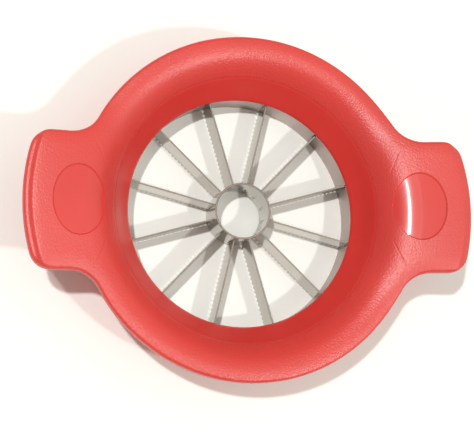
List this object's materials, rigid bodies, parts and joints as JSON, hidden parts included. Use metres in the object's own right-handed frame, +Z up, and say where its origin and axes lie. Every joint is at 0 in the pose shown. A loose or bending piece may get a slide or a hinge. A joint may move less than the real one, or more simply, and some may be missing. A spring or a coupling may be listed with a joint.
{
  "type": "apple slicer wedger press",
  "caption": "Round hand-pressed apple slicer: a dished plastic ring with wide side handles, a steel cutting band, radial serrated blades and a central coring ring.",
  "frame": {"origin": "on the ring's axis, in the plane of the cutting band's lower edge, which is the table the slicer lies on", "axes": "+Z up along the ring's axis, away from the cutting side; +X along the two handles; +Y across"},
  "size_m": [0.1706, 0.1312, 0.037],
  "materials": {
    "red_plastic": "fine spark-textured satin red, polished thumb panels",
    "band_steel": "bright rolled stainless strip",
    "ring_steel": "bright turned stainless tube",
    "blade_steel": "stainless, fine lengthwise grinding lines, serrated ground edge"
  },
  "bodies": {
    "root": {"frame": "red_plastic", "outer_band": "band_steel", "core_ring": "ring_steel", "blade_01": "blade_steel", "blade_02": "blade_steel", "blade_03": "blade_steel", "blade_04": "blade_steel", "blade_05": "blade_steel", "blade_06": "blade_steel", "blade_07": "blade_steel", "blade_08": "blade_steel", "blade_09": "blade_steel", "blade_10": "blade_steel", "blade_11": "blade_steel", "blade_12": "blade_steel"}
  },
  "joints": []
}
